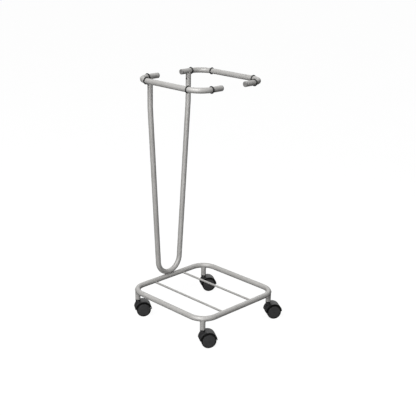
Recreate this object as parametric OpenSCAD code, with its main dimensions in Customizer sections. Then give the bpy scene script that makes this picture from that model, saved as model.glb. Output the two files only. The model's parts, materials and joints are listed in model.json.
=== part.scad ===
// Bin bag holder on four twin-wheel casters: a bent-tube frame whose two open arms carry the bag's rim.
// The origin is on the floor under the middle of the base. X runs to the right, Y to the back, Z up.
// All sizes are in millimetres.

/* [Frame tube] */
// Outer diameter of the frame tube
tube_d = 20; // [18:0.5:24]
// Wall thickness of the frame tube
tube_wall = 1.5; // [1:0.25:2]

/* [Base] */
// Width of the base loop between tube centre lines
base_w = 390; // [340:5:460]
// Depth of the base loop between tube centre lines
base_d = 390; // [340:5:460]
// Corner bend radius of the base loop at the tube centre line
base_bend_r = 60; // [45:1:80]
// Diameter of the two cross rods
rod_d = 8; // [6:0.5:9]
// Distance between the two cross rods
rod_spacing = 149; // [100:1:220]

/* [Back post] */
// Height of the arms' centre line above the base loop's centre line
post_h = 808; // [600:4:950]
// Distance between the two legs at their tops
leg_spacing = 192; // [170:2:200]
// Radius of the U bend at the foot of the post
foot_bend_r = 56; // [45:1:70]
// Height of the legs' shallow upper bend above the base loop's centre line
leg_bend_h = 694; // [500:2:720]
// Radius of the legs' shallow upper bend
leg_bend_r = 150; // [100:5:250]
// Depth that the foot of the post is notched to sit on the rear rail
foot_seat = 0.8; // [0.4:0.1:1.5]

/* [Bag arms] */
// Width over the two arms' side bars between tube centre lines
arms_w = 328; // [300:2:380]
// Depth of the arms between tube centre lines
arms_d = 325; // [260:5:400]
// Corner bend radius of the arms at the tube centre line
arm_bend_r = 60; // [45:1:66]
// Gap between the facing tips of the two arms
arm_gap = 113; // [100:1:140]
// Length of the spigot that holds each arm in its leg, below the arm's centre line
spigot_len = 52; // [40:1:70]
// Clearance around the spigot in its leg, on the radius
spigot_fit = 0.1; // [0.05:0.05:0.2]

/* [Tip caps] */
// Length of the part of a tip cap that shows past the tube's end
cap_head = 3; // [2.5:0.5:5]
// Radius of the round edge of a tip cap
cap_round = 2.2; // [1:0.1:2.4]
// Length of the plug of a tip cap inside the tube
cap_plug = 14; // [8:1:20]

/* [Rubber rings] */
// Width of a rubber ring along the tube
ring_w = 5; // [3:0.5:7]
// Height that a rubber ring stands above the tube
ring_h = 3.2; // [2.6:0.1:5]
// Distance of a ring's middle past the start of its bend, along the tube
ring_set = 3.2; // [3.2:0.1:8]

/* [Arm screws] */
// Diameter of the screw that fixes a spigot in its leg
screw_d = 3.9; // [3:0.1:5]
// Diameter of the screw's head
screw_head_d = 6.4; // [5.5:0.1:9]
// Length of the screw under its head
screw_len = 8; // [6:0.5:12]
// Distance of the screw below the arm's centre line
screw_drop = 28; // [20:1:36]

/* [Caster sockets] */
// Length of a socket from its open end to the base loop's centre line
socket_len = 41.5; // [36:0.5:60]
// Thickness of the flange of the plastic insert under the socket
insert_flange = 2; // [1:0.25:3]
// Length of the insert inside the socket
insert_len = 28; // [26:1:30]

/* [Casters] */
// Wheel diameter
wheel_d = 55; // [50:1:60]
// Width of one wheel
wheel_w = 15; // [12:0.5:18]
// Gap between the two wheels of a caster
wheel_gap = 18; // [17.2:0.2:22]
// Distance from the swivel axis back to the axle
trail = 19.5; // [15:0.5:22]
// Height of the caster from the floor to the insert's flange
caster_h = 64; // [62:0.5:70]
// Angle that the casters are turned to the right of straight back, as they stand
caster_turn = 32; // [0:1:90]
// Radial gap between a wheel's tread and the hood
hood_gap = 2; // [1:0.25:3]
// Wall thickness of the hood
hood_wall = 2.5; // [1.5:0.25:3]
// Width of the hood
hood_w = 42; // [38:1:46]
// Height of the hood's lower edge above the axle
hood_cut = 1; // [0:0.5:5]
// Thickness of the web between the wheels
web_t = 8; // [6:0.5:10]
// Outer diameter of the collar that stands on the hood round the stem
collar_d = 18.5; // [17:0.25:20]
// Diameter of the swivel boss between the wheels
swivel_boss_d = 16; // [14:0.5:16.5]
// Diameter of the axle boss in the web
axle_boss_d = 14; // [11:0.5:16]
// Diameter of the axle
axle_d = 6; // [5:0.25:7]
// Radial clearance of a wheel on its axle and of the housing on its stem
run_fit = 0.05; // [0.02:0.01:0.1]
// Flat running gap between parts that turn on each other
face_gap = 0.3; // [0.2:0.05:0.5]

/* [Caster stem] */
// Diameter of the stem in the insert
stem_d = 11; // [10:0.25:12]
// Length of the stem in the insert
stem_len = 26; // [22:1:28]
// Diameter of the stem's spindle in the housing
spindle_d = 8; // [7:0.25:9]
// Length of the stem's spindle in the housing
spindle_len = 23; // [18:1:24]
// Thickness of the stem's collar
stem_collar_t = 1.3; // [1:0.1:2]
// Wire diameter of the snap ring that holds the stem in the insert
snap_d = 1.4; // [1:0.1:1.6]

/* [Hidden] */
$fn = 64;

// Colours as the photo shows them
satin_grey = [0.72, 0.71, 0.69];
cap_grey = [0.62, 0.61, 0.60];
rubber_black = [0.07, 0.07, 0.07];
caster_black = [0.16, 0.16, 0.16];
zinc = [0.78, 0.78, 0.76];

// Clearance between fixed parts that seat on each other
seat = 0.05;
// Gap between a rubber ring and the leg beside it
ring_gap = 0.3;
tube_r = tube_d / 2;
bore_r = tube_r - tube_wall;

// Heights above the floor
axle_z = wheel_d / 2;
socket_z = caster_h + insert_flange;
base_z = socket_z + socket_len;
arm_z = base_z + post_h;
rod_z = base_z - tube_r + rod_d / 2;

// Places of the post, the arms and the casters in plan
post_y = base_d / 2;
leg_x = leg_spacing / 2;
arm_x = arms_w / 2;
arm_front_y = post_y - arms_d;
tip_x = arm_gap / 2;
caster_x = base_w / 2 - base_bend_r * (1 - cos(45));
caster_y = base_d / 2 - base_bend_r * (1 - cos(45));

// The post's outline: the U bend's centre and the tangent from it to the leg's upper bend
foot_z = base_z + tube_d - foot_seat + foot_bend_r;
bend_z = base_z + leg_bend_h;
leg_reach = norm([leg_x, bend_z - foot_z]);
leg_tilt = acos(foot_bend_r / leg_reach) - atan2(bend_z - foot_z, leg_x);
leg_run = sqrt(pow(leg_reach, 2) - pow(foot_bend_r, 2));
leg_bend_run = leg_bend_r * tan(leg_tilt / 2);

// How much slimmer the tube gets round the post's bends, on the radius, and how far a bend laps
bend_draw = 0.15;
bend_lap = 0.5;

// Where a coped tube end stops short of the other tube's centre line
cope_stop = 0.4 * tube_r;

// Caster sizes that follow from the wheel
wheel_r = wheel_d / 2;
hood_r = wheel_r + hood_gap + hood_wall;
stem_collar_z = caster_h - stem_collar_t;
collar_top_z = stem_collar_z - face_gap;
stem_collar_d = stem_d + 4;
swivel_bore_z = stem_collar_z - spindle_len - 1;
wheel_inner_y = wheel_gap / 2;
axle_boss_w = wheel_gap - 2 * face_gap;
hub_d = axle_d + 7;
hub_depth = wheel_w - 3;
axle_len = wheel_gap + 2 * (hub_depth - 1);
snap_z = caster_h + stem_len - 5;

// Ring section of the frame tube
module tube_section() {
  difference() {
    circle(r = tube_r);
    circle(r = bore_r);
  }
}

// Straight tube from a point in the XY plane, along a heading
module tube_run(from, heading, len) {
  translate([from[0], from[1], 0])
    rotate([0, 0, heading])
      rotate([0, 90, 0])
        linear_extrude(len)
          tube_section();
}

// Bent tube in the XY plane, round a centre, from one angle through a sweep
module tube_bend(centre, r, start, sweep) {
  translate([centre[0], centre[1], 0])
    rotate([0, 0, start])
      rotate_extrude(angle = sweep, $fn = 96)
        translate([r, 0])
          tube_section();
}

// Solid corner bend that copes a tube end to the tube's round
module corner_cutter() {
  translate([base_w / 2 - base_bend_r, base_d / 2 - base_bend_r, base_z])
    rotate_extrude(angle = 90, $fn = 96)
      translate([base_bend_r, 0])
        circle(r = tube_r + seat);
}

// Closed base loop, with a hole down into each socket
module base_loop() {
  side_x = base_w / 2 - base_bend_r;
  side_y = base_d / 2 - base_bend_r;
  color(satin_grey)
    difference() {
      translate([0, 0, base_z])
        union() {
          tube_run([-side_x, -base_d / 2], 0, 2 * side_x);
          tube_bend([side_x, -side_y], base_bend_r, -90, 90);
          tube_run([base_w / 2, -side_y], 90, 2 * side_y);
          tube_bend([side_x, side_y], base_bend_r, 0, 90);
          tube_run([side_x, base_d / 2], 180, 2 * side_x);
          tube_bend([-side_x, side_y], base_bend_r, 90, 90);
          tube_run([-base_w / 2, side_y], -90, 2 * side_y);
          tube_bend([-side_x, -side_y], base_bend_r, 180, 90);
        }
      for (sx = [-1, 1], sy = [-1, 1])
        translate([sx * caster_x, sy * caster_y, base_z - tube_d])
          cylinder(d = stem_d + 1, h = tube_d);
    }
}

// Solid rod between the front and rear rails, low against them, its ends coped to the rails
module cross_rod(side) {
  reach = base_d / 2 - 0.5 * tube_r;
  color(satin_grey)
    difference() {
      translate([side * rod_spacing / 2, -reach, rod_z])
        rotate([-90, 0, 0])
          cylinder(d = rod_d, h = 2 * reach);
      for (end = [-1, 1])
        translate([side * rod_spacing / 2 - rod_d, end * base_d / 2, base_z])
          rotate([0, 90, 0])
            cylinder(r = tube_r + seat, h = 2 * rod_d);
    }
}

// Upright tube under a corner bend, coped to it
module caster_socket(sx, sy) {
  color(satin_grey)
    mirror([sx < 0 ? 1 : 0, 0, 0])
      mirror([0, sy < 0 ? 1 : 0, 0])
        difference() {
          translate([caster_x, caster_y, socket_z])
            linear_extrude(socket_len - cope_stop)
              tube_section();
          corner_cutter();
        }
}

// Solid round bar from a point in the XY plane, along a heading
module bar_run(from, heading, len, r) {
  translate([from[0], from[1], 0])
    rotate([0, 0, heading])
      rotate([0, 90, 0])
        cylinder(r = r, h = len);
}

// Solid bent bar round a centre in the XY plane, lapped a little into the bars at both its ends
module bar_bend(centre, bend_r, start, sweep, r) {
  lap = bend_lap / bend_r * 180 / PI;
  translate([centre[0], centre[1], 0])
    rotate([0, 0, start - lap])
      rotate_extrude(angle = sweep + 2 * lap, $fn = 96)
        translate([bend_r, 0])
          circle(r = r - bend_draw);
}

// The post's path in the XY plane as a solid bar: the U bend and both legs, with their tops run on
module post_bar(r, over) {
  tangent = [foot_bend_r * cos(leg_tilt), foot_z - foot_bend_r * sin(leg_tilt)];
  upper = [leg_x, bend_z + leg_bend_run];
  bar_bend([0, foot_z], foot_bend_r, 180 + leg_tilt, 180 - 2 * leg_tilt, r);
  for (side = [0, 1])
    mirror([side, 0, 0]) {
      bar_run(tangent, 90 - leg_tilt, leg_run - leg_bend_run, r);
      bar_bend([leg_x - leg_bend_r, upper[1]], leg_bend_r, -leg_tilt, leg_tilt, r);
      bar_run(upper, 90, arm_z - cope_stop - upper[1] + over, r);
    }
}

// Back post: one tube bent to a narrow V with a round foot, its tops coped to the arms
module back_post() {
  color(satin_grey)
    difference() {
      translate([0, post_y, 0])
        rotate([90, 0, 0])
          difference() {
            post_bar(tube_r, 0);
            post_bar(bore_r, 1);
          }
      translate([-2 * foot_bend_r, post_y, base_z])
        rotate([0, 90, 0])
          cylinder(r = tube_r + seat, h = 4 * foot_bend_r);
      translate([-arm_x, post_y, arm_z])
        rotate([0, 90, 0])
          cylinder(r = tube_r + seat, h = arms_w);
      for (side = [-1, 1])
        translate([side * leg_x - tube_d, post_y, arm_z - screw_drop])
          rotate([0, 90, 0])
            cylinder(r = screw_d / 2 + spigot_fit, h = tube_d);
    }
}

// Arm that holds one side of the bag's rim: side bar, two bends and two stubs
module arm(side) {
  stub = arm_x - arm_bend_r - tip_x - cap_head;
  color(satin_grey)
    mirror([side < 0 ? 1 : 0, 0, 0])
      translate([0, 0, arm_z])
        union() {
          tube_run([tip_x + cap_head, post_y], 0, stub);
          tube_bend([arm_x - arm_bend_r, post_y - arm_bend_r], arm_bend_r, 0, 90);
          tube_run([arm_x, arm_front_y + arm_bend_r], 90, arms_d - 2 * arm_bend_r);
          tube_bend([arm_x - arm_bend_r, arm_front_y + arm_bend_r], arm_bend_r, -90, 90);
          tube_run([tip_x + cap_head, arm_front_y], 0, stub);
        }
}

// Short inner tube under an arm's back stub that plugs into the leg
module arm_spigot(side) {
  color(zinc)
    difference() {
      translate([side * leg_x, post_y, arm_z - spigot_len])
        linear_extrude(spigot_len - cope_stop)
          difference() {
            circle(r = bore_r - spigot_fit);
            circle(r = bore_r - spigot_fit - tube_wall);
          }
      translate([side * leg_x - tube_d, post_y, arm_z])
        rotate([0, 90, 0])
          cylinder(r = tube_r + seat, h = 2 * tube_d);
      translate([side * leg_x - tube_d, post_y, arm_z - screw_drop])
        rotate([0, 90, 0])
          cylinder(r = screw_d / 2 + seat, h = tube_d);
    }
}

// Domed screw through the left side of a leg into the spigot
module arm_screw(side) {
  head_h = 0.35 * screw_head_d;
  dome_r = (pow(screw_head_d / 2, 2) + pow(head_h, 2)) / (2 * head_h);
  color(zinc)
    translate([side * leg_x - tube_r, post_y, arm_z - screw_drop])
      rotate([0, -90, 0])
        rotate_extrude()
          union() {
            translate([0, -screw_len])
              square([screw_d / 2, screw_len + 0.1]);
            intersection() {
              translate([0, head_h - dome_r])
                circle(r = dome_r);
              square([screw_head_d, head_h]);
            }
          }
}

// Moulded cap that closes an arm's tip: a round-edged head and a plug with two grip ribs
module tip_cap(side, y) {
  color(cap_grey)
    mirror([side < 0 ? 1 : 0, 0, 0])
      translate([tip_x, y, arm_z])
        rotate([0, 90, 0])
          rotate_extrude()
            union() {
              square([tube_r - cap_round, cap_head]);
              translate([0, cap_round])
                square([tube_r, cap_head - cap_round]);
              intersection() {
                translate([tube_r - cap_round, cap_round])
                  circle(r = cap_round);
                square([tube_r, cap_head]);
              }
              translate([0, cap_head - 0.1])
                square([bore_r - 0.6, cap_plug + 0.1]);
              for (k = [0.35, 0.8])
                translate([0, cap_head + k * cap_plug])
                  square([bore_r - seat, 1.2]);
            }
}

// Rubber ring round the tube, flat inside and round outside, with its axis along Y
module rubber_ring() {
  rotate([90, 0, 0])
    rotate_extrude()
      union() {
        translate([tube_r + seat, -ring_w / 2])
          square([ring_h - ring_w / 2, ring_w]);
        intersection() {
          translate([tube_r + seat + ring_h - ring_w / 2, 0])
            circle(d = ring_w);
          translate([tube_r + seat, -ring_w / 2])
            square([ring_h, ring_w]);
        }
      }
}

// The four rings of an arm sit just inside the ends of its two bends, the first one clear of the leg
module arm_ring(side, n) {
  bend_x = arm_x - arm_bend_r;
  leg_clear = leg_x + tube_r + ring_gap + ring_w / 2 - bend_x;
  turn = ring_set / arm_bend_r * 180 / PI;
  first_turn = max(ring_set, leg_clear) / arm_bend_r * 180 / PI;
  angle = [90 - first_turn, turn, -turn, turn - 90][n - 1];
  centre_y = n < 3 ? post_y - arm_bend_r : arm_front_y + arm_bend_r;
  color(rubber_black)
    mirror([side < 0 ? 1 : 0, 0, 0])
      translate([bend_x, centre_y, arm_z])
        rotate([0, 0, angle])
          translate([arm_bend_r, 0, 0])
            rubber_ring();
}

// Puts its children at a caster's swivel axis, turned as the casters stand
module at_caster(sx, sy) {
  translate([sx * caster_x, sy * caster_y, 0])
    rotate([0, 0, -caster_turn])
      children();
}

// Plastic bush with a flange that lines the socket for the stem
module socket_insert(sx, sy) {
  color(caster_black)
    at_caster(sx, sy)
      rotate_extrude()
        difference() {
          union() {
            translate([0, caster_h])
              square([tube_r, insert_flange]);
            translate([0, socket_z - 0.1])
              square([bore_r - seat, insert_len + 0.1]);
          }
          translate([-1, caster_h - 1])
            square([stem_d / 2 + seat + 1, insert_len + insert_flange + 2]);
          translate([-1, snap_z - snap_d])
            square([stem_d / 2 + snap_d / 2 + 1 + 2 * seat, 2 * snap_d]);
        }
}

// Turned steel stem: grooved grip end, collar and spindle
module stem(sx, sy) {
  color(zinc)
    at_caster(sx, sy)
      rotate_extrude()
        difference() {
          union() {
            translate([0, stem_collar_z - spindle_len])
              square([spindle_d / 2, spindle_len + 0.1]);
            translate([0, stem_collar_z])
              square([stem_collar_d / 2, stem_collar_t]);
            translate([0, caster_h - 0.1])
              square([stem_d / 2, stem_len + 0.1 - 1]);
            polygon([[0, caster_h + stem_len - 1.1], [stem_d / 2, caster_h + stem_len - 1.1],
              [stem_d / 2 - 1, caster_h + stem_len], [0, caster_h + stem_len]]);
          }
          translate([stem_d / 2 - snap_d / 2, snap_z - snap_d / 2 - seat])
            square([snap_d, snap_d + 2 * seat]);
        }
}

// Split wire ring in the stem's groove
module snap_ring(sx, sy) {
  color(zinc)
    at_caster(sx, sy)
      translate([0, 0, snap_z])
        rotate_extrude(angle = 320)
          translate([stem_d / 2 + seat, 0])
            circle(d = snap_d, $fn = 24);
}

// Turns a profile drawn with its length along Y into a solid round the axle line
module round_axle() {
  translate([trail, 0, axle_z])
    rotate([-90, 0, 0])
      children();
}

// Hood: the upper half of a drum round both wheels, with rounded rims and a flat lower edge
module hood() {
  mid_r = hood_r - hood_wall / 2;
  rim_y = hood_w / 2 - hood_wall / 2;
  difference() {
    round_axle()
      rotate_extrude($fn = 96)
        union() {
          translate([hood_r - hood_wall, -rim_y])
            square([hood_wall, 2 * rim_y]);
          for (end = [-1, 1])
            translate([mid_r, end * rim_y])
              circle(d = hood_wall, $fn = 32);
        }
    translate([trail - 2 * hood_r, -hood_w, axle_z + hood_cut - 2 * hood_r])
      cube([4 * hood_r, 2 * hood_w, 2 * hood_r]);
  }
}

// Web between the wheels: fills the hood's arch and dips to a round lobe under the axle
module web() {
  translate([trail, web_t / 2, axle_z])
    rotate([90, 0, 0])
      linear_extrude(web_t)
        union() {
          intersection() {
            circle(r = hood_r - hood_wall / 2, $fn = 96);
            translate([-hood_r, hood_cut])
              square([2 * hood_r, hood_r]);
          }
          circle(d = axle_boss_d + 6);
        }
}

// Moulded caster housing: hood, web, swivel boss with its collar, and axle boss, bored for both pins
module housing(sx, sy) {
  boss_z = axle_z + hood_cut;
  color(caster_black)
    at_caster(sx, sy)
      difference() {
        union() {
          hood();
          web();
          translate([0, 0, boss_z])
            cylinder(d = swivel_boss_d, h = collar_top_z - boss_z);
          translate([0, 0, collar_top_z - 10])
            intersection() {
              cylinder(d = collar_d, h = 10);
              translate([trail, 0, axle_z - collar_top_z + 10])
                difference() {
                  cube(4 * hood_r, center = true);
                  rotate([90, 0, 0])
                    cylinder(r = hood_r - hood_wall / 2, h = hood_w, center = true);
                }
            }
          round_axle()
            translate([0, 0, -axle_boss_w / 2])
              cylinder(d = axle_boss_d, h = axle_boss_w);
        }
        translate([0, 0, swivel_bore_z])
          cylinder(r = spindle_d / 2 + run_fit, h = collar_top_z);
        round_axle()
          translate([0, 0, -wheel_gap])
            cylinder(r = axle_d / 2 + seat, h = 2 * wheel_gap);
      }
}

// Steel axle pin, chamfered at both ends
module axle(sx, sy) {
  chamfer = 0.5;
  color(zinc)
    at_caster(sx, sy)
      round_axle()
        rotate_extrude()
          polygon([[0, -axle_len / 2], [axle_d / 2 - chamfer, -axle_len / 2],
            [axle_d / 2, chamfer - axle_len / 2], [axle_d / 2, axle_len / 2 - chamfer],
            [axle_d / 2 - chamfer, axle_len / 2], [0, axle_len / 2]]);
}

// Half section of a wheel: round-shouldered tread, domed face with a groove, hollow back and hub
module wheel_section() {
  shoulder = 2;
  dome_h = 1.2;
  dome_r = (pow(wheel_r, 2) + pow(dome_h, 2)) / (2 * dome_h);
  rim_wall = 3.5;
  face_t = 3;
  groove_r = wheel_r - 4.5;
  difference() {
    intersection() {
      union() {
        square([wheel_r - shoulder, wheel_w]);
        translate([0, shoulder])
          square([wheel_r, wheel_w - 2 * shoulder]);
        for (y = [shoulder, wheel_w - shoulder])
          translate([wheel_r - shoulder, y])
            circle(r = shoulder, $fn = 32);
      }
      translate([0, wheel_w - dome_r])
        circle(r = dome_r, $fn = 360);
    }
    translate([hub_d / 2, -1])
      square([wheel_r - rim_wall - hub_d / 2, wheel_w - face_t + 1 - dome_h]);
    translate([-1, -1])
      square([axle_d / 2 + run_fit + 1, hub_depth + 1]);
    translate([groove_r, wheel_w - dome_h])
      circle(d = 1.2, $fn = 24);
  }
}

// Moulded wheel with six ribs in its hollow back, on one side of the web
module wheel(sx, sy, side) {
  rib_t = 1.6;
  rib_len = wheel_r - 3 - hub_d / 2;
  color(caster_black)
    at_caster(sx, sy)
      round_axle()
        mirror([0, 0, side < 0 ? 1 : 0])
          translate([0, 0, wheel_inner_y])
            union() {
              rotate_extrude($fn = 96)
                wheel_section();
              for (k = [0:5])
                rotate([0, 0, 60 * k])
                  translate([hub_d / 2 - 1, -rib_t / 2, 2])
                    cube([rib_len + 1, rib_t, wheel_w - 5]);
            }
}

base_loop();
cross_rod(-1);  // cross_rod_left
cross_rod(1);  // cross_rod_right
caster_socket(-1, -1);  // caster_socket_front_left
caster_socket(1, -1);  // caster_socket_front_right
caster_socket(-1, 1);  // caster_socket_rear_left
caster_socket(1, 1);  // caster_socket_rear_right
back_post();
arm(-1);  // arm_left
arm(1);  // arm_right
arm_spigot(-1);  // arm_spigot_left
arm_spigot(1);  // arm_spigot_right
arm_screw(-1);  // arm_screw_left
arm_screw(1);  // arm_screw_right
tip_cap(-1, arm_front_y);  // tip_cap_left_front
tip_cap(-1, post_y);  // tip_cap_left_rear
tip_cap(1, arm_front_y);  // tip_cap_right_front
tip_cap(1, post_y);  // tip_cap_right_rear
arm_ring(-1, 1);  // rubber_ring_left_1
arm_ring(-1, 2);  // rubber_ring_left_2
arm_ring(-1, 3);  // rubber_ring_left_3
arm_ring(-1, 4);  // rubber_ring_left_4
arm_ring(1, 1);  // rubber_ring_right_1
arm_ring(1, 2);  // rubber_ring_right_2
arm_ring(1, 3);  // rubber_ring_right_3
arm_ring(1, 4);  // rubber_ring_right_4
socket_insert(-1, -1);  // socket_insert_front_left
socket_insert(1, -1);  // socket_insert_front_right
socket_insert(-1, 1);  // socket_insert_rear_left
socket_insert(1, 1);  // socket_insert_rear_right
stem(-1, -1);  // stem_front_left
stem(1, -1);  // stem_front_right
stem(-1, 1);  // stem_rear_left
stem(1, 1);  // stem_rear_right
snap_ring(-1, -1);  // snap_ring_front_left
snap_ring(1, -1);  // snap_ring_front_right
snap_ring(-1, 1);  // snap_ring_rear_left
snap_ring(1, 1);  // snap_ring_rear_right
housing(-1, -1);  // housing_front_left
housing(1, -1);  // housing_front_right
housing(-1, 1);  // housing_rear_left
housing(1, 1);  // housing_rear_right
axle(-1, -1);  // axle_front_left
axle(1, -1);  // axle_front_right
axle(-1, 1);  // axle_rear_left
axle(1, 1);  // axle_rear_right
wheel(-1, -1, -1);  // wheel_front_left_1
wheel(-1, -1, 1);  // wheel_front_left_2
wheel(1, -1, -1);  // wheel_front_right_1
wheel(1, -1, 1);  // wheel_front_right_2
wheel(-1, 1, -1);  // wheel_rear_left_1
wheel(-1, 1, 1);  // wheel_rear_left_2
wheel(1, 1, -1);  // wheel_rear_right_1
wheel(1, 1, 1);  // wheel_rear_right_2
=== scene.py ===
"""Looks of a rolling bin bag holder: satin tube frame, rubber rings and hooded twin-wheel casters."""

import json
import math

import bmesh
import bpy
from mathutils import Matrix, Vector


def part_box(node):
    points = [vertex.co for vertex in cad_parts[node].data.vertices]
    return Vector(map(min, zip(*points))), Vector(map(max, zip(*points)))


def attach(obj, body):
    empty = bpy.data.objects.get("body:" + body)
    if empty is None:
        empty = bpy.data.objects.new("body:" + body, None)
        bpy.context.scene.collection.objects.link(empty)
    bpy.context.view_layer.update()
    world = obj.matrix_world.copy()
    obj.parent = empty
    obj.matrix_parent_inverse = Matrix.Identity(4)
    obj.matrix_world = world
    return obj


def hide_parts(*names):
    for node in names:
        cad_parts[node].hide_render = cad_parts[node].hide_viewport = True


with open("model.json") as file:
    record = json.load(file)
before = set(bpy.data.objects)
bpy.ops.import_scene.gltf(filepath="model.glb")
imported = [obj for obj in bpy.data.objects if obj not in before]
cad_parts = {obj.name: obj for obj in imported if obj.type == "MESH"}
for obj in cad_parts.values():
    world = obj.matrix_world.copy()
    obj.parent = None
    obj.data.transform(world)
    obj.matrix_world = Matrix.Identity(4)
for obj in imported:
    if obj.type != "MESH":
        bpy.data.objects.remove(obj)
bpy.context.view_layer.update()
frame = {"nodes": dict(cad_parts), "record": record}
nodes = frame["nodes"]
joints = {joint["child"]: joint for joint in frame["record"]["behaviour"]["joints"]}

# Names of the places round the holder, with their side of the middle
fore_aft = (("front", -1), ("rear", 1))
left_right = (("left", -1), ("right", 1))

# Places read from the frame, in metres
base_low, base_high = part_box("base_loop")
arm_low, arm_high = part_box("arm_right")
spigot_low, spigot_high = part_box("arm_spigot_right")
rod_low, rod_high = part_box("cross_rod_right")
socket_low, socket_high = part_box("caster_socket_rear_right")
base_r = (base_high.z - base_low.z) / 2
base_z = (base_high.z + base_low.z) / 2
base_x = base_high.x - base_r
base_y = base_high.y - base_r
tube_r = (arm_high.z - arm_low.z) / 2
arm_x = arm_high.x - tube_r
arm_z = (arm_high.z + arm_low.z) / 2
arm_back_y = arm_high.y - tube_r
arm_front_y = arm_low.y + tube_r
arm_tip_x = arm_low.x
leg_x = (spigot_high.x + spigot_low.x) / 2
rod_x = (rod_high.x + rod_low.x) / 2
rod_z = (rod_high.z + rod_low.z) / 2
rod_r = (rod_high.z - rod_low.z) / 2
socket_x = (socket_high.x + socket_low.x) / 2
socket_y = (socket_high.y + socket_low.y) / 2

# Sizes of the bent tubes
tube_wall = 0.0015
base_bend_r = 0.060
arm_bend_r = 0.060
foot_bend_r = 0.056
foot_seat = 0.0008
leg_bend_z = arm_z - 0.114
leg_bend_r = 0.150
leg_straight = 0.03
seat = 0.00005
corner_centre_x = base_x - base_bend_r
corner_centre_y = base_y - base_bend_r
bend_steps = 24

# Sizes of the welds: the pitch of their scales, and each bead's radius, offset from its tube and reach
scale_pitch = 0.0021
socket_bead_r = 0.0014
socket_bead_off = 0.0002
rod_bead_r = 0.0010
rod_bead_off = 0.0001
foot_bead_r = 0.0024
foot_bead_y = 0.0052
foot_bead_reach = 0.016

# Sizes of the casters: the hoods, their rolled lips, the faces' grooves and the rounding of the edges
hood_r = 0.032
hood_half_w = 0.021
lip_r = 0.0019
groove_in = 0.0230
groove_out = 0.0242
hood_edge = 0.0005
bush_edge = 0.0003
wheel_edge = 0.00035

# Sizes of the arms' screws
shank_r = 0.00195
slot_len = 0.0036
slot_w = 0.0007
slot_deep = 0.0014


class Value:
    """A socket that adds Math nodes to its wiring when it is used in arithmetic."""

    def __init__(self, wiring, socket):
        self.wiring = wiring
        self.socket = socket

    def math(self, operation, first, second):
        return self.wiring.node("ShaderNodeMath", {"operation": operation}, {0: first, 1: second})

    def __add__(self, other):
        return self.math("ADD", self, other)

    def __radd__(self, other):
        return self.math("ADD", other, self)

    def __mul__(self, other):
        return self.math("MULTIPLY", self, other)

    def __rmul__(self, other):
        return self.math("MULTIPLY", other, self)


class Wiring:
    """The nodes of one material or of the surroundings."""

    def __init__(self, owner):
        owner.use_nodes = True
        self.tree = owner.node_tree

    def node(self, kind, settings=None, sockets=None, output=0):
        """Adds a node: its settings first, then the values or links of its sockets."""
        made = self.tree.nodes.new(kind)
        for key, value in (settings or {}).items():
            setattr(made, key, value)
        for key, value in (sockets or {}).items():
            self.join(made.inputs[key], value)
        return Value(self, made.outputs[output])

    def join(self, socket, value):
        """Links a value to a socket, or sets it there if it is the same all over."""
        if isinstance(value, Value):
            self.tree.links.new(value.socket, socket)
        else:
            socket.default_value = value

    def ramp(self, value, low, high):
        """Runs from 0 to 1 as the value goes from low to high, and stays inside."""
        sockets = {"Value": value, "From Min": low, "From Max": high}
        return self.node("ShaderNodeMapRange", {"interpolation_type": "SMOOTHSTEP"}, sockets)


class Finish(Wiring):
    """One material, with the nodes that make its colour, gloss and grain."""

    def __init__(self, name, roughness, metallic=0.0, specular=0.5):
        self.material = bpy.data.materials.new(name)
        super().__init__(self.material)
        self.shader = self.tree.nodes["Principled BSDF"]
        self.shader.inputs["Roughness"].default_value = roughness
        self.shader.inputs["Metallic"].default_value = metallic
        self.shader.inputs["Specular IOR Level"].default_value = specular
        self.place = self.node("ShaderNodeTexCoord", output="Object")

    def noise(self, scale, detail, stretch=None):
        """Noise whose patches are about 1 / scale metres, from 0 to 1."""
        place = self.place
        if stretch:
            place = self.node("ShaderNodeMapping", None, {"Vector": place, "Scale": stretch})
        sockets = {"Vector": place, "Scale": scale, "Detail": detail}
        return self.node("ShaderNodeTexNoise", None, sockets)

    def mix(self, share, first, second):
        """A colour between two, as (r, g, b) or a colour socket."""
        shades = [c if isinstance(c, Value) else (*c, 1.0) for c in (first, second)]
        first_shade, second_shade = 6, 7
        sockets = {"Factor": share, first_shade: shades[0], second_shade: shades[1]}
        return self.node("ShaderNodeMix", {"data_type": "RGBA"}, sockets, output=2)

    def colour(self, value):
        """Sets the colour all over the surface."""
        self.join(self.shader.inputs["Base Color"], value)

    def roughness(self, value):
        """Sets the gloss all over the surface, from 0, a mirror, to 1, chalk."""
        self.join(self.shader.inputs["Roughness"], value)

    def blend(self, other, attribute):
        """Mixes in another surface where a mesh attribute is 1."""
        share = self.node("ShaderNodeAttribute", {"attribute_name": attribute}, output="Fac")
        first = Value(self, self.shader.outputs["BSDF"])
        both = self.node("ShaderNodeMixShader", None, {0: share, 1: first, 2: other})
        self.join(self.tree.nodes["Material Output"].inputs["Surface"], both)

    def relief(self, height, depth):
        """Bumps the surface by a height from 0 to 1, times a depth in metres."""
        bump = self.node("ShaderNodeBump", None, {"Height": height, "Distance": depth, "Strength": 1.0})
        self.join(self.shader.inputs["Normal"], bump)


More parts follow.
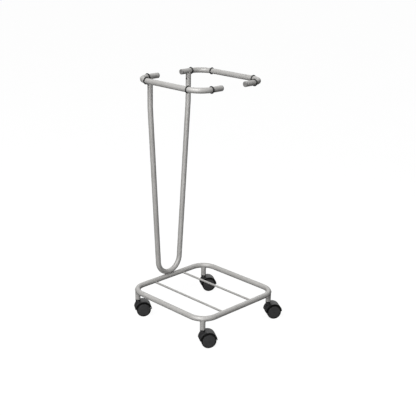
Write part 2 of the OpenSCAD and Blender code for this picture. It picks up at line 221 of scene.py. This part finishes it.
def satin_paint():
    """Silver-grey stove enamel: fine flake, a soft orange peel and faint rubbed patches."""
    finish = Finish("satin_paint", roughness=0.5, metallic=0.2)
    flake = finish.noise(2600.0, 1.0)
    cloud = finish.noise(14.0, 3.0)
    rubbed = finish.ramp(finish.noise(55.0, 6.0, stretch=(1.0, 1.0, 0.35)), 0.56, 0.74)
    shade = finish.mix(finish.ramp(cloud, 0.3, 0.7), (0.400, 0.393, 0.380), (0.449, 0.440, 0.428))
    shade = finish.mix(finish.ramp(flake, 0.35, 0.75) * 0.35, shade, (0.52, 0.515, 0.50))
    shade = finish.mix(rubbed * 0.25, shade, (0.33, 0.322, 0.31))
    finish.colour(shade)
    finish.roughness(0.44 + 0.06 * cloud + 0.08 * rubbed)
    finish.relief(finish.noise(520.0, 2.0) * 0.7 + finish.noise(1900.0, 1.0) * 0.3, 0.00006)
    return finish.material


def cap_plastic():
    """Grey moulded plastic with a fine spark grain."""
    finish = Finish("cap_plastic", roughness=0.5)
    cloud = finish.noise(160.0, 3.0)
    finish.colour(finish.mix(cloud, (0.19, 0.187, 0.183), (0.23, 0.226, 0.22)))
    finish.roughness(0.34 + 0.12 * cloud)
    finish.relief(finish.noise(3200.0, 2.0), 0.00004)
    return finish.material


def ring_rubber():
    """Black rubber with a dusty bloom in patches and fine pores."""
    finish = Finish("ring_rubber", roughness=0.72, specular=0.35)
    bloom = finish.ramp(finish.noise(240.0, 4.0), 0.45, 0.8)
    finish.colour(finish.mix(bloom, (0.009, 0.009, 0.009), (0.028, 0.027, 0.026)))
    finish.roughness(0.62 + 0.2 * bloom)
    finish.relief(finish.noise(2200.0, 3.0), 0.00007)
    return finish.material


def black_plastic(name, shade, gloss, grain, specular=0.5):
    """Black moulded plastic: spark grain, faint flow marks and scuffs."""
    finish = Finish(name, roughness=gloss, specular=specular)
    flow = finish.noise(42.0, 3.0, stretch=(1.0, 1.0, 2.2))
    scuff = finish.ramp(finish.noise(130.0, 8.0), 0.58, 0.78)
    dark = (shade, shade, shade * 1.04)
    light = (shade * 1.5, shade * 1.5, shade * 1.54)
    finish.colour(finish.mix(scuff * 0.5, finish.mix(flow, dark, light), (0.075, 0.074, 0.072)))
    finish.roughness(gloss + 0.1 * flow + 0.12 * scuff)
    finish.relief(finish.noise(grain, 2.0), 0.00005)
    return finish.material


def painted_shade_rim_finish():
    """The hoods' rolled edges: the same black plastic, left dull by the mould, and painted darker than the
    hoods as painted shade for the shaded edge and inside of each hood.
    """
    finish = Finish("painted_shade_rim_finish", roughness=0.8, specular=0.1)
    worn_and_shaded = finish.ramp(finish.noise(160.0, 6.0), 0.55, 0.8)
    # Both colours are darker than the hood's own plastic: painted shade for the hood's shaded edge.
    finish.colour(finish.mix(worn_and_shaded, (0.005, 0.005, 0.005), (0.014, 0.0138, 0.0135)))
    finish.roughness(0.7 + 0.2 * worn_and_shaded)
    finish.relief(finish.noise(2400.0, 2.0), 0.00005)
    return finish.material


def wheel_plastic():
    """Black moulded wheels: a satin disc with faint flow marks and scuffs, and a dull black tread whose
    darker colour is partly its own and partly painted shade for the shaded rounded shoulder.
    """
    finish = Finish("wheel_plastic", roughness=0.4, specular=0.35)
    cloud = finish.noise(70.0, 3.0)
    scuff = finish.ramp(finish.noise(150.0, 8.0), 0.56, 0.78)
    disc = finish.mix(cloud, (0.036, 0.036, 0.037), (0.050, 0.050, 0.051))
    disc = finish.mix(scuff * 0.4, disc, (0.075, 0.074, 0.072))
    finish.colour(disc)
    finish.roughness(0.30 + 0.08 * cloud + 0.1 * scuff)
    finish.relief(finish.noise(3000.0, 2.0), 0.00004)
    # The tread's colour: scuffed black, far darker than the disc, partly painted shade for the rounded
    # shoulder that faces away from the light.
    worn_and_shaded = finish.mix(scuff, (0.004, 0.004, 0.004), (0.012, 0.0117, 0.0115))
    dull = {"Base Color": worn_and_shaded, "Roughness": 0.7 + 0.15 * scuff, "Specular IOR Level": 0.08}
    finish.blend(finish.node("ShaderNodeBsdfPrincipled", None, dull), "tread")
    return finish.material


def turned_zinc():
    """Bright zinc on turned steel, with fine rings from the lathe."""
    finish = Finish("turned_zinc", roughness=0.3, metallic=1.0)
    cloud = finish.noise(90.0, 3.0)
    lathe = finish.noise(60.0, 2.0, stretch=(1.0, 1.0, 60.0))
    finish.colour(finish.mix(cloud, (0.56, 0.56, 0.55), (0.68, 0.68, 0.65)))
    finish.roughness(0.24 + 0.12 * lathe + 0.08 * cloud)
    finish.relief(lathe, 0.00003)
    return finish.material


def blackened_steel():
    """Black-oxide screw steel, rubbed brighter in specks."""
    finish = Finish("blackened_steel", roughness=0.42, metallic=0.9)
    speck = finish.ramp(finish.noise(900.0, 4.0), 0.55, 0.75)
    finish.colour(finish.mix(speck, (0.035, 0.034, 0.033), (0.14, 0.135, 0.13)))
    finish.roughness(0.36 + 0.14 * speck)
    finish.relief(finish.noise(1800.0, 2.0), 0.00004)
    return finish.material


def pale_floor():
    """Plain matt studio floor, a little luminous, so that it stays white away from the lamps."""
    finish = Finish("pale_floor", roughness=0.9, specular=0.0)
    finish.colour(finish.mix(finish.noise(3.0, 2.0), (0.09, 0.09, 0.09), (0.10, 0.10, 0.10)))
    finish.shader.inputs["Emission Color"].default_value = (1.0, 1.0, 1.0, 1.0)
    finish.shader.inputs["Emission Strength"].default_value = 0.93
    return finish.material


finishes = {
    "frame_tube": satin_paint(),
    "tip_cap": cap_plastic(),
    "rubber_ring": ring_rubber(),
    "zinc_steel": turned_zinc(),
    "dark_screw": blackened_steel(),
    "insert_plastic": black_plastic("insert_plastic", 0.020, 0.46, 2600.0),
    "housing_plastic": black_plastic("housing_plastic", 0.024, 0.30, 2400.0, 0.3),
    "wheel_plastic": wheel_plastic(),
}
# The lips' finish, darkened with painted shade.
painted_shade_rim = painted_shade_rim_finish()
finishes["cross_rod"] = finishes["frame_tube"]


def paint(piece, slot):
    """Gives a piece the finish of a material slot and no other."""
    piece.data.materials.clear()
    piece.data.materials.append(finishes[slot])


for part in frame["record"]["subparts"]:
    paint(nodes[part["node"]], part["material_slot"])


def only(piece):
    """Selects one piece and nothing else."""
    if bpy.context.object and bpy.context.object.mode != "OBJECT":
        bpy.ops.object.mode_set(mode="OBJECT")
    bpy.ops.object.select_all(action="DESELECT")
    piece.select_set(True)
    bpy.context.view_layer.objects.active = piece


def settle(piece):
    """Puts a finished piece's place into its mesh."""
    only(piece)
    bpy.ops.object.transform_apply(location=True, rotation=True, scale=True)


def smooth(piece, degrees):
    """Shades a piece smooth across all edges that turn less than an angle."""
    only(piece)
    bpy.ops.object.shade_smooth_by_angle(angle=math.radians(degrees))


def fit_to(piece, slot, body, *stands_for):
    """Gives a piece its finish and the body that it rides on, and hides the CAD pieces that it stands for.
    """
    paint(piece, slot)
    if stands_for:
        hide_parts(*stands_for)
    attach(piece, body)


def arc(centre, radius, start, end, steps):
    """Points round a centre from one angle to another, in degrees."""
    angles = [math.radians(start + (end - start) * k / steps) for k in range(steps + 1)]
    return [(centre[0] + radius * math.cos(a), centre[1] + radius * math.sin(a)) for a in angles]


def swept(name, path, radius, sides=48, closed=False, swell=None):
    """A round bar along a path, as a mesh. Swell gives each point's share of the radius."""
    line = bpy.data.curves.new(name, "CURVE")
    line.dimensions = "3D"
    line.fill_mode = "FULL"
    line.bevel_depth = radius
    line.bevel_resolution = (sides - 4) // 2
    line.use_fill_caps = not closed
    run = line.splines.new("POLY")
    run.points.add(len(path) - 1)
    run.use_cyclic_u = closed
    for k, (point, place) in enumerate(zip(run.points, path)):
        point.co = (*place, 1.0)
        point.radius = swell[k] if swell else 1.0
    piece = bpy.data.objects.new(name, line)
    bpy.context.scene.collection.objects.link(piece)
    only(piece)
    bpy.ops.object.convert(target="MESH")
    return bpy.context.active_object


def hollow_tube(name, path, radius, closed=False):
    """A tube along a path, with its true wall."""
    piece = swept(name, path, radius, closed=closed)
    if not closed:
        drop_caps(piece)
    only(piece)
    wall = piece.modifiers.new("wall", "SOLIDIFY")
    wall.thickness = tube_wall
    wall.offset = -1.0
    bpy.ops.object.modifier_apply(modifier="wall")
    smooth(piece, 30.0)
    return piece


def drop_caps(piece):
    """Opens the ends of a swept bar: its end caps are its only faces with many corners."""
    only(piece)
    bpy.ops.object.mode_set(mode="EDIT")
    mesh = bmesh.from_edit_mesh(piece.data)
    caps = [face for face in mesh.faces if len(face.verts) > 4]
    bmesh.ops.delete(mesh, geom=caps, context="FACES")
    bmesh.update_edit_mesh(piece.data)
    bpy.ops.object.mode_set(mode="OBJECT")


def cope(piece, above, surface):
    """Moves the tube's top rim, all points above a height, onto the surface that it meets."""
    for point in piece.data.vertices:
        if point.co.z > above:
            point.co.z = surface(point.co.x, point.co.y)
    piece.data.update()


def aim(thing, place, target, roll=0.0):
    """Puts a lamp or camera at a place, looking at a target, turned by roll about its line of sight."""
    thing.location = place
    thing.rotation_euler = (Vector(target) - Vector(place)).to_track_quat("-Z", "Y").to_euler()
    thing.rotation_euler.rotate_axis("Z", roll)


def lamp(name, place, width, power):
    """A round soft lamp that looks at the middle of the holder."""
    light = bpy.data.lights.new(name, "AREA")
    light.shape = "DISK"
    light.size = width
    light.energy = power
    holder = bpy.data.objects.new(name, light)
    bpy.context.scene.collection.objects.link(holder)
    middle = (0.0, 0.0, 0.45)
    aim(holder, place, middle)


def camera():
    """The photograph's view. The lens's sizes are in pixels of a picture 416 wide."""
    azimuth = math.radians(45.06)
    elevation = math.radians(18.57)
    roll = math.radians(1.01)
    distance = 3.2287
    picture_w = 416
    focal_length = 868.13
    picture_shift = 3.35
    target = Vector((0.0, 0.0, 0.4402))
    level = math.cos(elevation) * distance
    height = math.sin(elevation) * distance
    place = target + Vector((-math.sin(azimuth) * level, -math.cos(azimuth) * level, height))
    lens = bpy.data.cameras.new("camera")
    lens.sensor_width = 36.0
    lens.lens = focal_length / picture_w * lens.sensor_width
    lens.shift_x = picture_shift / picture_w
    holder = bpy.data.objects.new("camera", lens)
    bpy.context.scene.collection.objects.link(holder)
    aim(holder, place, target, roll)
    bpy.context.scene.camera = holder


def surround():
    """The studio as the object sees it: soft light overhead, bright behind the object, dim elsewhere.

    Each glow has its direction, the cosines at which it starts and is full, and its strength.
    """
    overhead = ((0.0, 0.0, 1.0), -0.1, 1.0, 0.44)
    behind = ((0.62, 0.62, 0.48), 0.66, 0.97, 0.85)
    strength = 0.08
    world = bpy.data.worlds.new("surround")
    sky = Wiring(world)
    place = sky.node("ShaderNodeTexCoord", output="Generated")
    for towards, start, full, power in (overhead, behind):
        sockets = {0: place, 1: towards}
        facing = sky.node("ShaderNodeVectorMath", {"operation": "DOT_PRODUCT"}, sockets, output="Value")
        strength = strength + power * sky.ramp(facing, start, full)
    background = sky.tree.nodes["Background"]
    background.inputs["Color"].default_value = (1.0, 1.0, 1.0, 1.0)
    sky.join(background.inputs["Strength"], strength)
    bpy.context.scene.world = world


def set_stage(name, surface):
    """Names the newest object, gives it a surface and hides it from all rays but the camera's."""
    piece = bpy.context.active_object
    piece.name = name
    piece.data.materials.append(surface)
    piece.visible_diffuse = False
    piece.visible_glossy = False
    piece.visible_shadow = False


def studio():
    """A white floor and a round backdrop, a broad soft key from the left and a low fill."""
    surface = pale_floor()
    floor_w = 60.0
    backdrop_r = 28.0
    backdrop_h = 40.0
    bpy.ops.mesh.primitive_plane_add(size=floor_w, location=(0.0, 0.0, 0.0))
    set_stage("floor", surface)
    bpy.ops.mesh.primitive_cylinder_add(
        vertices=128, radius=backdrop_r, depth=backdrop_h, end_fill_type="NOTHING")
    set_stage("backdrop", surface)
    lamp("key", (-2.9, -0.9, 3.6), 2.4, 150.0)
    lamp("fill", (-3.3, -1.7, 0.8), 1.8, 56.0)
    surround()
    bpy.context.scene.view_settings.view_transform = "Standard"


def base_loop():
    """The base: four straight rails and four bent corners, one closed tube."""
    corners = [(1, 1, 0.0), (-1, 1, 90.0), (-1, -1, 180.0), (1, -1, 270.0)]
    outline = []
    for sx, sy, start in corners:
        centre = (sx * corner_centre_x, sy * corner_centre_y)
        outline += arc(centre, base_bend_r, start, start + 90.0, bend_steps)
    piece = hollow_tube("base_tube", [(x, y, base_z) for x, y in outline], base_r, closed=True)
    fit_to(piece, "frame_tube", "frame", "base_loop")


def corner_underside(x, y):
    """Height of the underside of a base corner's tube over a point."""
    across = math.hypot(abs(x) - corner_centre_x, abs(y) - corner_centre_y) - base_bend_r
    return base_z - math.sqrt(max(0.0, base_r ** 2 - across ** 2))


def caster_sockets():
    """Four short tubes under the corners, each coped to its bend and welded round."""
    bottom = socket_low.z
    ring_steps = 150
    for row, sy in fore_aft:
        for side, sx in left_right:
            x, y = sx * socket_x, sy * socket_y
            ends = [(x, y, bottom), (x, y, base_z - base_r / 2)]
            piece = hollow_tube(f"socket_tube_{row}_{side}", ends, tube_r)
            cope(piece, bottom + tube_r, lambda px, py: corner_underside(px, py) - seat)
            fit_to(piece, "frame_tube", "frame", f"caster_socket_{row}_{side}")
            ring = arc((x, y), tube_r + socket_bead_off, 0.0, 360.0, ring_steps)[:-1]
            places = [(px, py, corner_underside(px, py)) for px, py in ring]
            bead = weld_bead(f"socket_weld_{row}_{side}", places, socket_bead_r)
            fit_to(bead, "frame_tube", "frame")


def weld_bead(name, path, radius, closed=True):
    """A weld with overlapping scales along a path."""
    thinnest = 0.80
    growth = 0.25
    swell = []
    along = 0.0
    for k, place in enumerate(path):
        along += (Vector(place) - Vector(path[k - 1])).length if k else 0.0
        swell.append(thinnest + growth * (along / scale_pitch % 1.0))
    bead = swept(name, path, radius, sides=12, closed=closed, swell=swell)
    smooth(bead, 50.0)
    return bead


def leg_path():
    """The post's centre line in its plane: left leg down, round the foot and up the right leg."""
    foot_z = base_z + base_r + tube_r - foot_seat + foot_bend_r
    reach = math.hypot(leg_x, leg_bend_z - foot_z)
    tilt = math.acos(foot_bend_r / reach) - math.atan2(leg_bend_z - foot_z, leg_x)
    lean = math.degrees(tilt)
    upper = leg_bend_z + leg_bend_r * math.tan(tilt / 2)
    foot = arc((0.0, foot_z), foot_bend_r, -90.0, -lean, 2 * bend_steps)
    shoulder_steps = 8
    shoulder = arc((leg_x - leg_bend_r, upper), leg_bend_r, -lean, 0.0, shoulder_steps)
    right = foot + shoulder + [(leg_x, upper + leg_straight), (leg_x, arm_z - tube_r / 2)]
    left = [(-x, z) for x, z in reversed(right[1:])]
    return left + right


def arm_underside(x, y):
    """Height that the top of a leg's tube reaches under an arm's rear stub."""
    return arm_z - math.sqrt(max(0.0, tube_r ** 2 - (y - base_y) ** 2)) - seat


def back_post():
    """The back post: one tube bent to a narrow V, its tops coped to the arms and its foot welded down."""
    piece = hollow_tube("post_tube", [(x, base_y, z) for x, z in leg_path()], tube_r)
    cope(piece, arm_z - tube_r, arm_underside)
    fit_to(piece, "frame_tube", "frame", "back_post")
    foot_gap = base_r + tube_r - foot_seat
    bead_steps = 79
    for row, sy in fore_aft:
        places = []
        for k in range(bead_steps + 1):
            x = -foot_bead_reach + 2 * foot_bead_reach * k / bead_steps
            rise = foot_gap + foot_bend_r - math.sqrt(foot_bend_r ** 2 - x ** 2)
            places.append((x, base_y + sy * foot_bead_y, base_z + rise / 2))
        bead = weld_bead(f"foot_weld_{row}", places, foot_bead_r, closed=False)
        fit_to(bead, "frame_tube", "frame")


def arms():
    """The two arms: one tube each, bent twice."""
    for side, sx in left_right:
        outline = [(arm_tip_x, arm_front_y)]
        outline += arc((arm_x - arm_bend_r, arm_front_y + arm_bend_r), arm_bend_r, -90.0, 0.0, bend_steps)
        outline += arc((arm_x - arm_bend_r, arm_back_y - arm_bend_r), arm_bend_r, 0.0, 90.0, bend_steps)
        outline += [(arm_tip_x, arm_back_y)]
        piece = hollow_tube(f"arm_tube_{side}", [(sx * x, y, arm_z) for x, y in outline], tube_r)
        fit_to(piece, "frame_tube", "frame", f"arm_{side}")


def rod_welds():
    """The weld round each end of the two cross rods, open underneath, where they butt against the rails."""
    start, end, steps = -50.0, 230.0, 60
    for side, sx in left_right:
        for row, sy in fore_aft:
            places = []
            for x, z in arc((sx * rod_x, rod_z), rod_r + rod_bead_off, start, end, steps):
                drop = min(base_r, abs(z - base_z))
                places.append((x, sy * (base_y - math.sqrt(base_r ** 2 - drop ** 2)), z))
            bead = weld_bead(f"rod_weld_{row}_{side}", places, rod_bead_r, closed=False)
            fit_to(bead, "frame_tube", "frame")


def softened(name, node, slot, body, width):
    """A moulded piece, with the edges that are sharper than an angle rounded over by a width."""
    same_point = 0.000002
    flat = math.radians(0.2)
    sharp = math.radians(32.0)
    source = nodes[node]
    piece = source.copy()
    piece.data = source.data.copy()
    piece.name = name
    piece.parent = None
    for key in list(piece.keys()):
        del piece[key]
    bpy.context.scene.collection.objects.link(piece)
    only(piece)
    bpy.ops.object.mode_set(mode="EDIT")
    bpy.ops.mesh.select_all(action="SELECT")
    bpy.ops.mesh.remove_doubles(threshold=same_point)
    bpy.ops.mesh.dissolve_limited(angle_limit=flat)
    bpy.ops.object.mode_set(mode="OBJECT")
    edge = piece.modifiers.new("edge", "BEVEL")
    edge.width = width
    edge.segments = 3
    edge.limit_method = "ANGLE"
    edge.angle_limit = sharp
    edge.use_clamp_overlap = True
    bpy.ops.object.modifier_apply(modifier="edge")
    smooth(piece, 28.0)
    fit_to(piece, slot, body, node)
    return piece


def casters():
    """Rounded mouldings of the casters: housings, wheels and the bushes in the sockets."""
    for row, _ in fore_aft:
        for side, _ in left_right:
            place = f"{row}_{side}"
            softened(f"hood_{place}", f"housing_{place}", "housing_plastic", f"caster_{place}", hood_edge)
            hood_lips(place)
            softened(f"bush_{place}", f"socket_insert_{place}", "insert_plastic", "frame", bush_edge)
            for n in (1, 2):
                wheel = f"wheel_{place}_{n}"
                roller = softened(f"roller_{place}_{n}", wheel, "wheel_plastic", wheel, wheel_edge)
                mark_tread(roller, wheel)


def axle_line(wheel):
    """The middle of a wheel and the direction of its axle."""
    joint = joints[wheel]
    return Vector(joint["pos_m"]), Vector(joint["axis"]).normalized()


def hood_lips(place):
    """The rolled lips along both open edges of a caster's hood, thickest at the back."""
    start, sweep, steps = 2.0, 176.0, 48
    slimmest = 0.35
    slims_by = 0.625
    pivot = Vector(joints[f"caster_{place}"]["pos_m"])
    middle, axle = axle_line(f"wheel_{place}_1")
    back = Vector((middle.x - pivot.x, middle.y - pivot.y, 0.0)).normalized()
    for edge, sign in (("inner", -1.0), ("outer", 1.0)):
        path = []
        swell = []
        for k in range(steps + 1):
            share = k / steps
            angle = math.radians(start + sweep * share)
            thick = 1.0 - (1.0 - slimmest) * min(1.0, share / slims_by)
            reach = hood_r - lip_r * thick
            across = axle * sign * (hood_half_w - lip_r * thick)
            rise = Vector((0.0, 0.0, reach * math.sin(angle)))
            path.append(middle + across + back * (reach * math.cos(angle)) + rise)
            swell.append(thick)
        lip = swept(f"hood_lip_{place}_{edge}", path, lip_r, sides=16, swell=swell)
        smooth(lip, 50.0)
        fit_to(lip, "housing_plastic", f"caster_{place}")
        # The lips get the dark rim finish, whose colour is painted shade.
        lip.data.materials[0] = painted_shade_rim


def mark_tread(roller, wheel):
    """Marks the part of a wheel outside its face's groove, which its finish makes dull and darker, the
    darkness partly painted shade.
    """
    middle, axle = axle_line(wheel)
    mark = roller.data.attributes.new("tread", "FLOAT", "POINT")
    for point, value in zip(roller.data.vertices, mark.data):
        arm = point.co - middle
        out = (arm - axle * arm.dot(axle)).length
        value.value = min(1.0, max(0.0, (out - groove_in) / (groove_out - groove_in)))


def arm_screws():
    """Pan-head screws with a cross recess, through the left side of each leg."""
    head_share = 0.7
    dome_share = 0.8
    same_plane = 0.0001
    for side, _ in left_right:
        low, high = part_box(f"arm_screw_{side}")
        y = (low.y + high.y) / 2
        z = (low.z + high.z) / 2
        head_r = (high.z - low.z) / 2
        head_h = head_share * head_r
        seat_x = low.x + head_h
        spot = (seat_x - head_h / 2, y, z)
        turn = (0.0, math.radians(-90.0), 0.0)
        bpy.ops.object.select_all(action="DESELECT")
        bpy.ops.mesh.primitive_cylinder_add(
            vertices=48, radius=head_r, depth=head_h, location=spot, rotation=turn)
        screw = bpy.context.active_object
        screw.name = f"cross_screw_{side}"
        settle(screw)
        bpy.ops.object.mode_set(mode="EDIT")
        pick_faces(screw, lambda face: face.normal.x > 0.9)
        bpy.ops.mesh.inset(thickness=head_r - shank_r)
        bpy.ops.mesh.extrude_region_move(TRANSFORM_OT_translate={"value": (high.x - seat_x, 0.0, 0.0)})
        pick_edges(screw, lambda edge: all(corner.co.x < low.x + same_plane for corner in edge.verts))
        bpy.ops.mesh.bevel(offset=head_h * dome_share, segments=6, affect="EDGES")
        bpy.ops.object.mode_set(mode="OBJECT")
        for tall, wide in ((slot_len, slot_w), (slot_w, slot_len)):
            slot_cut(screw, (low.x, y, z), (2 * slot_deep, wide, tall))
        smooth(screw, 35.0)
        fit_to(screw, "dark_screw", "frame", f"arm_screw_{side}")


def slot_cut(piece, place, size):
    """Cuts a straight slot into a piece."""
    bpy.ops.object.select_all(action="DESELECT")
    bpy.ops.mesh.primitive_cube_add(size=1.0, location=place, scale=size)
    cutter = bpy.context.active_object
    settle(cutter)
    only(piece)
    cut = piece.modifiers.new("slot", "BOOLEAN")
    cut.operation = "DIFFERENCE"
    cut.solver = "EXACT"
    cut.object = cutter
    bpy.ops.object.modifier_apply(modifier="slot")
    bpy.data.objects.remove(cutter)


def pick_faces(piece, wanted):
    """In edit mode, selects the faces that are wanted and nothing else."""
    bpy.ops.mesh.select_mode(type="FACE")
    bpy.ops.mesh.select_all(action="DESELECT")
    mesh = bmesh.from_edit_mesh(piece.data)
    for face in mesh.faces:
        face.select_set(wanted(face))
    bmesh.update_edit_mesh(piece.data)


def pick_edges(piece, wanted):
    """In edit mode, selects the edges that are wanted and nothing else."""
    bpy.ops.mesh.select_mode(type="EDGE")
    bpy.ops.mesh.select_all(action="DESELECT")
    mesh = bmesh.from_edit_mesh(piece.data)
    for edge in mesh.edges:
        edge.select_set(wanted(edge))
    mesh.select_flush_mode()
    bmesh.update_edit_mesh(piece.data)


base_loop()
caster_sockets()
back_post()
arms()
rod_welds()
arm_screws()
casters()
camera()
studio()
